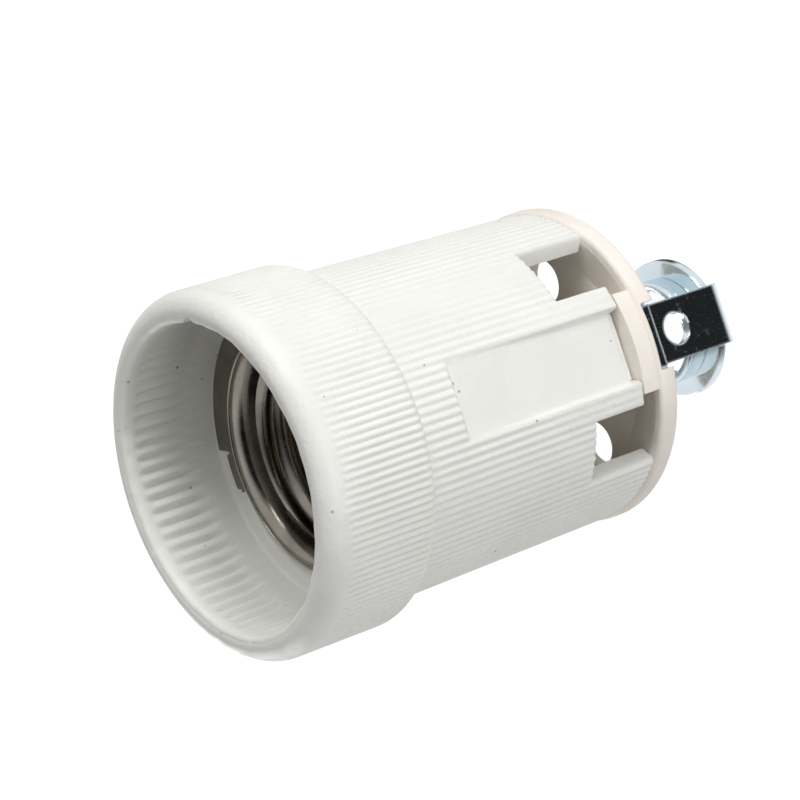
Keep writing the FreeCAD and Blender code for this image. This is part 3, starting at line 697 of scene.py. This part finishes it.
def block(low, high):
    """Points and outward faces of a box between two corners."""
    points = [(x * MM, y * MM, z * MM) for z in (low[2], high[2])
              for y in (low[1], high[1]) for x in (low[0], high[0])]
    faces = [(0, 2, 3, 1), (4, 5, 7, 6), (0, 1, 5, 4), (2, 6, 7, 3), (0, 4, 6, 2), (1, 3, 7, 5)]
    return points, faces


def build_bosses():
    points, faces = [], []
    for near, far in ((-BOSS_OUT, -BOSS_IN), (BOSS_IN, BOSS_OUT)):
        for bottom, top in BOSS_LEVELS:
            more, quads = block((-BOSS_HALF, near, bottom), (BOSS_HALF, far, top))
            faces += [tuple(len(points) + index for index in quad) for quad in quads]
            points += more
    return points, faces


bosses = add_mesh("deck_bosses", *build_bosses(), BODY, smooth=False)
edge = bosses.modifiers.new("edges", "BEVEL")
edge.width = BOSS_EDGE * MM
edge.segments = 3
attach(bosses, "holder")
print("boss faces:", len(bosses.data.polygons))

# %% [markdown]
# ## The rolled screw shell
# The real shell is one thin sheet, rolled into the lamp thread. A stack of plain rings would
# give grooves and no thread, so the phase of the wave moves by one pitch in a turn. The thread
# fades out at both ends. In front are the funnel, a small hem, and a flange that is wide over
# two sectors and stepped and nicked beside them.

# %% Shell sizes, in millimetres; turns in degrees where not said
PITCH = 3.63
MAJOR = 13.35
CREST = 12.2
THREAD_PHASE = 2.2  # radians
THREAD_START, START_FADE = LEDGE - 1.9, 1.4
THREAD_END, END_FADE = DECK_FRONT + 3.2, 2.4
TAB_TURN = math.radians(40.0)
HALF_TAB = 40.0
STEP_TURN = 19.0
RIM_R = 15.9
HEM = ((15.72, 0.0), (15.66, 0.1), (15.56, 0.16), (15.46, 0.1), (15.4, 0.0))
FUNNEL, FUNNEL_DEPTH = 1.95, 2.6
FLANGE_BEVEL = 0.12
THREAD_ROWS = 14
FOOT_ROUND = 0.8
FOOT_HOLE_R = 7.6
SEAT_GAP = 0.02
print("thread turns:", (THREAD_START - THREAD_END) / PITCH)

# %% Rings of the shell


def shell_wave(level):
    """Inner radius of the sheet at a level, for every column."""
    phase = 2 * math.pi * (level - LEDGE) / PITCH - ANGLES + THREAD_PHASE
    wave = 0.5 + 0.5 * np.cos(phase)
    depth = (MAJOR - CREST) * rise(np.array(THREAD_START - level), START_FADE) * rise(
        np.array(level - THREAD_END), END_FADE)
    return MAJOR - depth * (1 - wave ** 1.1)


def tab_reach():
    """Outer radius of the front flange for every column."""
    off = (np.degrees(ANGLES - TAB_TURN) + 90.0) % 180.0 - 90.0
    past = (off - HALF_TAB) % 180.0
    step = np.where(past < STEP_TURN, (SHELL_TAB_R + RIM_R) / 2, RIM_R)
    nick = (0.9 * np.exp(-((past - STEP_TURN + 1.0) / 0.9) ** 2)
            + 0.8 * np.exp(-((past - 0.8) / 0.7) ** 2))
    return np.where(np.abs(off) < HALF_TAB, SHELL_TAB_R - 0.05, step - nick)


def shell_rings():
    reach = tab_reach()
    top = LEDGE + WALL
    rings = [(reach, LEDGE + SEAT_GAP), (reach, top - FLANGE_BEVEL), (reach - FLANGE_BEVEL, top)]
    rings += [(np.minimum(reach - 0.15, radius), top + height) for radius, height in HEM]
    for turn in np.radians((90, 75, 60, 45, 30, 15, 0)):
        rings.append((np.minimum(reach - 0.2, MAJOR + FUNNEL * (1 - np.cos(turn))),
                      top - FUNNEL_DEPTH * (1 - np.sin(turn))))
    levels = np.arange(top - FUNNEL_DEPTH - 0.2, DECK_FRONT + 1.4, -PITCH / THREAD_ROWS)
    rings += [(shell_wave(level), level) for level in levels]
    for turn in np.radians((0, 30, 60, 90)):
        rings.append((np.full(COLUMNS, MAJOR - FOOT_ROUND + FOOT_ROUND * np.cos(turn)),
                      DECK_FRONT + WALL + FOOT_ROUND - FOOT_ROUND * np.sin(turn)))
    rings.append((np.full(COLUMNS, FOOT_HOLE_R), DECK_FRONT + WALL))
    rings.append((np.full(COLUMNS, FOOT_HOLE_R), DECK_FRONT + SEAT_GAP))
    return rings


def ring_faces(count):
    """Quads between stacked rings of the column grid."""
    faces = []
    for ring in range(count - 1):
        for column in range(COLUMNS):
            following = (column + 1) % COLUMNS
            faces.append((ring * COLUMNS + column, (ring + 1) * COLUMNS + column,
                          (ring + 1) * COLUMNS + following, ring * COLUMNS + following))
    return faces


# %% Build the shell
rings = shell_rings()
shell = add_mesh("rolled_shell", ring_points(rings), ring_faces(len(rings)), NICKEL_PAINTED_DARK)
mark_sharp(shell, 40)
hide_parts("screw_shell")
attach(shell, "holder")
print("shell faces:", len(shell.data.polygons))

# %% [markdown]
# ## The entry bush
# The real collar is turned on a lathe and tapped. Its section is a handful of rings. A texture
# could fake the thread, but the bore is seen on its edge, so the mesh has a true fine helix: a
# point's radius depends on how far round the thread it is.

# %% Build the bush
BUSH_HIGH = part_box("entry_bush")[1] / MM
BUSH_PITCH = 1.0
BUSH_THREAD_ROWS = 8
BUSH_WALL = 1.15
THREAD = 0.45
MOUTH_BEVEL = 0.5
SEAT_INSET, SEAT_HEIGHT = 0.4, 1.2
RIM_BEVEL = 0.3


def bush_rings():
    core = BUSH_HIGH.x - BUSH_WALL
    seat = BUSH_HIGH.x - SEAT_INSET
    top = BUSH_HIGH.z
    rings = [(core + MOUTH_BEVEL, 0.0), (seat, 0.0), (seat, SEAT_HEIGHT)]
    rings += [(BUSH_HIGH.x, SEAT_HEIGHT), (BUSH_HIGH.x, SEAT_HEIGHT + 0.05)]
    rings += [(BUSH_HIGH.x, top - RIM_BEVEL), (BUSH_HIGH.x - RIM_BEVEL, top)]
    rings += [(core + THREAD, top)]
    rings = [(np.full(COLUMNS, radius), level) for radius, level in rings]
    for level in np.arange(top - 0.1, 0.2, -BUSH_PITCH / BUSH_THREAD_ROWS):
        phase = ((level / BUSH_PITCH - ANGLES / (2 * math.pi)) % 1.0) * 2 - 1
        rings.append((core + THREAD * (1 - np.abs(phase)), level))
    return rings + [(np.full(COLUMNS, core + MOUTH_BEVEL), 0.0)]


rings = bush_rings()
bush = add_mesh("threaded_bush", ring_points(rings), ring_faces(len(rings)), ZINC)
mark_sharp(bush, 30)
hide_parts("entry_bush")
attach(bush, "holder")
print("bush faces:", len(bush.data.polygons))

# %% [markdown]
# ## The contact spring
# Round spring wire is wound in an open helix under the centre contact, which a lamp cap presses
# down. A curve with a bevel would give the same look; here the tube is built point by point.

# %% Wind the spring
SPRING_LOW, SPRING_HIGH = (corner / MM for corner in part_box("contact_spring"))
SPRING_TURNS = 3
SPRING_WIRE = 0.25
SPRING_R = SPRING_HIGH.x - SPRING_WIRE
WIRE_SIDES = 12
TURN_STEPS = 60


def wind_spring():
    """A round tube that follows the helix, closed at both ends."""
    points = []
    count = SPRING_TURNS * TURN_STEPS
    climb = SPRING_HIGH.z - SPRING_LOW.z - 2 * SPRING_WIRE
    for step in range(count + 1):
        around = 2 * math.pi * step / TURN_STEPS
        level = SPRING_LOW.z + SPRING_WIRE + climb * step / count
        for side in range(WIRE_SIDES):
            angle = 2 * math.pi * side / WIRE_SIDES
            radius = SPRING_R + SPRING_WIRE * math.cos(angle)
            points.append((radius * math.cos(around) * MM, radius * math.sin(around) * MM,
                           (level + SPRING_WIRE * math.sin(angle)) * MM))
    faces = [tuple(range(WIRE_SIDES)),
             tuple(reversed(range(count * WIRE_SIDES, (count + 1) * WIRE_SIDES)))]
    for step in range(count):
        for side in range(WIRE_SIDES):
            following = (side + 1) % WIRE_SIDES
            faces.append((step * WIRE_SIDES + side, (step + 1) * WIRE_SIDES + side,
                          (step + 1) * WIRE_SIDES + following, step * WIRE_SIDES + following))
    return points, faces


spring = add_mesh("wound_spring", *wind_spring(), WIRE)
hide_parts("contact_spring")
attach(spring, "holder")
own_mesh(spring)

# %% [markdown]
# ## Camera
# The holder lies across the picture with its mouth towards the lower left. The camera looks
# down its flank at 35 degrees and is rolled so that the axis climbs to the right. Three
# directions say this more plainly than three angles would.

# %% Place the camera
VIEW = Vector((0, 0.8186, -0.5744)).normalized()
RIGHT = Vector((-0.3123, -0.5457, -0.7776)).normalized()
UP = RIGHT.cross(VIEW).normalized()
PLACE = Vector((2.3, -286.9, 248.0)) * MM
SENSOR = 36.0
LENS = 126.45

camera_data = bpy.data.cameras.new("camera")
camera_data.sensor_width = SENSOR
camera_data.lens = LENS
camera_data.clip_start = 0.01
camera_data.clip_end = 20
camera = bpy.data.objects.new("camera", camera_data)
turn = Matrix((RIGHT, UP, -VIEW)).transposed()
camera.matrix_world = Matrix.Translation(PLACE) @ turn.to_4x4()
bpy.context.scene.collection.objects.link(camera)
bpy.context.scene.camera = camera
print("lens:", LENS, "mm")

# %% [markdown]
# ## The studio's surroundings
# The camera sees plain white. What lights the porcelain is a soft sky, bright above and dim in
# front of the mouth, so that the mouth goes deep. Plated metal mirrors a white room with a dark
# side and a dark card behind it. Without these two, flat plated faces would look like paper.

# %% World
SKY_SIDE = (UP * 0.75 + RIGHT * 0.4 - VIEW * 0.25).normalized()
DARK_SIDE = (RIGHT * 0.62 - VIEW * 0.78 - UP * 0.1).normalized()
CARD_SIDE = (VIEW * 0.9 + UP * 0.42).normalized()


def strength_towards(tree, direction, low, high, out_low, out_high):
    """A light level that depends on how far a ray points towards a direction."""
    coords = tree.nodes.new("ShaderNodeTexCoord")
    node = tree.nodes.new("ShaderNodeVectorMath")
    node.operation = "DOT_PRODUCT"
    node.inputs[1].default_value = tuple(direction)
    tree.links.new(coords.outputs["Generated"], node.inputs[0])
    return ramp(tree, node.outputs["Value"], low, high, out_low, out_high)


def white_light(tree, strength=None):
    node = tree.nodes.new("ShaderNodeBackground")
    node.inputs["Color"].default_value = (1, 1, 1, 1)
    if strength is not None:
        tree.links.new(strength, node.inputs["Strength"])
    return node.outputs[0]


def mix_shaders(tree, factor, first, second):
    node = tree.nodes.new("ShaderNodeMixShader")
    tree.links.new(factor, node.inputs[0])
    tree.links.new(first, node.inputs[1])
    tree.links.new(second, node.inputs[2])
    return node.outputs[0]


def seen_directly(tree, path):
    """1 for what the camera sees, straight or through something clear."""
    return math_node(tree, "MAXIMUM", path.outputs["Is Camera Ray"],
                     path.outputs["Is Transmission Ray"])


def make_world():
    world = bpy.data.worlds.new("studio")
    bpy.context.scene.world = world
    world.use_nodes = True
    tree = world.node_tree
    tree.nodes.clear()
    out = tree.nodes.new("ShaderNodeOutputWorld")
    path = tree.nodes.new("ShaderNodeLightPath")
    sky = strength_towards(tree, SKY_SIDE, -0.5, 0.9, 0.12, 1.0)
    room = strength_towards(tree, DARK_SIDE, 0.2, 0.62, 1.0, 0.02)
    card = strength_towards(tree, CARD_SIDE, 0.90, 0.96, 1.0, 0.1)
    mirrored = white_light(tree, math_node(tree, "MULTIPLY", room, card))
    lighting = mix_shaders(tree, path.outputs["Is Glossy Ray"], white_light(tree, sky), mirrored)
    shown = mix_shaders(tree, seen_directly(tree, path), lighting, white_light(tree))
    tree.links.new(shown, out.inputs["Surface"])
    return world


print("world:", make_world().name)

# %% [markdown]
# ## Lamps
# Three large square lamps stand round the part at about 70 cm. The key comes from above and
# lights the lower wall of the mouth, the fill opens up the flank, and the back lamp keeps the
# far side from going dark. They are placed by the camera's directions.

# %% Lamps
MIDDLE = Vector((0, 0, 45)) * MM


def lamp(name, right, up, toward, width, power):
    """A square area lamp, placed by camera directions and aimed at the part."""
    data = bpy.data.lights.new(name, "AREA")
    data.size = width
    data.energy = power
    thing = bpy.data.objects.new(name, data)
    place = MIDDLE + (RIGHT * right + UP * up - VIEW * toward)
    aim = (place - MIDDLE).to_track_quat("Z", "Y").to_matrix().to_4x4()
    thing.matrix_world = Matrix.Translation(place) @ aim
    bpy.context.scene.collection.objects.link(thing)


lamp("key", -0.15, 0.54, 0.42, 0.26, 2.45)
lamp("fill", 0.42, -0.10, 0.52, 0.40, 2.4)
lamp("back", -0.25, -0.45, -0.45, 0.40, 2.8)
print("lamps:", len(bpy.data.lights))

# %% [markdown]
# ## Floor
# A real studio floor is a pale sheet under the part. It bounces light up and keeps the part's
# soft shadow. To the camera it is lifted to white, from below it is clear, and reflections
# pass through it to the white and dark sides of the sky.

# %% Lay the floor
FLOOR_PALE = 0.8
FLOOR_SHADE = 0.35
FLOOR_LIFT = 0.88


def diffuse(tree, value):
    node = tree.nodes.new("ShaderNodeBsdfDiffuse")
    node.inputs["Color"].default_value = (value, value, value, 1)
    return node.outputs[0]


def floor_paint():
    material, tree, shader = new_material("pale_floor")
    tree.nodes.remove(shader)
    out = tree.nodes["Material Output"]
    path = tree.nodes.new("ShaderNodeLightPath")
    geometry = tree.nodes.new("ShaderNodeNewGeometry")
    lift = tree.nodes.new("ShaderNodeEmission")
    lift.inputs["Strength"].default_value = FLOOR_LIFT
    lifted = tree.nodes.new("ShaderNodeAddShader")
    tree.links.new(diffuse(tree, FLOOR_SHADE), lifted.inputs[0])
    tree.links.new(lift.outputs[0], lifted.inputs[1])
    seen = mix_shaders(tree, seen_directly(tree, path), diffuse(tree, FLOOR_PALE),
                       lifted.outputs[0])
    through = tree.nodes.new("ShaderNodeBsdfTransparent")
    clear = math_node(tree, "MAXIMUM", geometry.outputs["Backfacing"],
                      path.outputs["Is Glossy Ray"])
    final = mix_shaders(tree, clear, seen, through.outputs[0])
    tree.links.new(final, out.inputs["Surface"])
    return material


FLOOR_REACH = 3000.0
FLOOR_GAP = 0.02
floor_level = size_before[0][2] - FLOOR_GAP * MM
corners = [(x * FLOOR_REACH * MM, y * FLOOR_REACH * MM, floor_level)
           for x, y in ((-1, -1), (1, -1), (1, 1), (-1, 1))]
floor_mesh = bpy.data.meshes.new("floor")
floor_mesh.from_pydata(corners, [], [(0, 1, 2, 3)])
floor_mesh.materials.append(floor_paint())
floor = bpy.data.objects.new("floor", floor_mesh)
bpy.context.scene.collection.objects.link(floor)
print("floor level:", floor_level)

# %% [markdown]
# ## View settings
# The Standard transform shows each colour as it is written, with no film curve over it.

# %% View settings
bpy.context.scene.view_settings.view_transform = "Standard"
